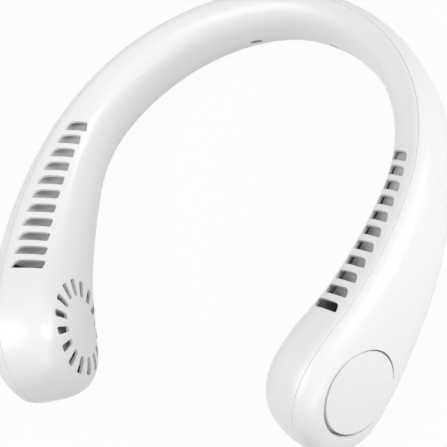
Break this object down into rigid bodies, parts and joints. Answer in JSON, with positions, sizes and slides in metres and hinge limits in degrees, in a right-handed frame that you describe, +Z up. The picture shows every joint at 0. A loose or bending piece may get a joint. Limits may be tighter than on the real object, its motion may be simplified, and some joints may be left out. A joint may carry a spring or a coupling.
{
  "type": "electric neck fan",
  "caption": "Horseshoe neck fan in two glossy shells, with rows of air slots on both arms and a centrifugal blower in each rounded head.",
  "frame": {"origin": "on the ground below the middle of the fan at rest, between its two arms", "axes": "+X to the right as seen from the open end with the nape band away, which is the side named right in the nodes; +Y to the nape band, +Z up; the heads' open end faces -Y"},
  "size_m": [0.1882, 0.1866, 0.0522],
  "materials": {
    "shell_white": "gloss",
    "cap_white": "gloss",
    "guide_grey": "satin",
    "frame_plastic": "satin",
    "impeller_plastic": "satin",
    "rotor_steel": "satin",
    "magnet": "matt",
    "shaft_steel": "polished",
    "bearing_bronze": "satin",
    "core_steel": "satin",
    "coil_copper": "gloss",
    "cell_foil": "satin",
    "pad_foam": "matt",
    "board_green": "satin",
    "screw_steel": "satin",
    "socket_steel": "satin",
    "switch_black": "satin",
    "button_white": "gloss",
    "lens_clear": "gloss",
    "cable_grey": "satin"
  },
  "bodies": {
    "housing": {"inner_shell": "shell_white", "outer_shell": "shell_white", "left_side_cap": "cap_white", "right_side_cap": "cap_white", "left_duct_guide": "guide_grey", "right_duct_guide": "guide_grey", "left_fan_frame": "frame_plastic", "right_fan_frame": "frame_plastic", "left_bearing": "bearing_bronze", "right_bearing": "bearing_bronze", "left_stator_core": "core_steel", "right_stator_core": "core_steel", "left_stator_coils": "coil_copper", "right_stator_coils": "coil_copper", "left_cell": "cell_foil", "right_cell": "cell_foil", "left_cell_pad": "pad_foam", "right_cell_pad": "pad_foam", "left_driver_board": "board_green", "right_driver_board": "board_green", "left_frame_screws": "screw_steel", "right_frame_screws": "screw_steel", "main_board": "board_green", "charge_socket": "socket_steel", "button_switch": "switch_black", "indicator_lens": "lens_clear", "link_cable": "cable_grey"},
    "left_wheel": {"left_impeller": "impeller_plastic", "left_rotor_cup": "rotor_steel", "left_magnet_ring": "magnet", "left_shaft": "shaft_steel"},
    "right_wheel": {"right_impeller": "impeller_plastic", "right_rotor_cup": "rotor_steel", "right_magnet_ring": "magnet", "right_shaft": "shaft_steel"},
    "button": {"power_button": "button_white"}
  },
  "joints": [
    {"name": "left_wheel_spin", "type": "hinge", "parent": "housing", "child": "left_wheel", "pos_m": [-0.06821, -0.06392, 0.02573], "axis": [-0.9397, -0.3353, 0.0676], "continuous": true},
    {"name": "right_wheel_spin", "type": "hinge", "parent": "housing", "child": "right_wheel", "pos_m": [0.06821, -0.06392, 0.02573], "axis": [0.9397, -0.3353, 0.0676], "continuous": true},
    {"name": "button_press", "type": "slide", "parent": "housing", "child": "button", "axis": [0.9851, 0.1688, -0.034], "range_m": [0, 0.0006], "stiffness_N_per_m": 3000}
  ]
}
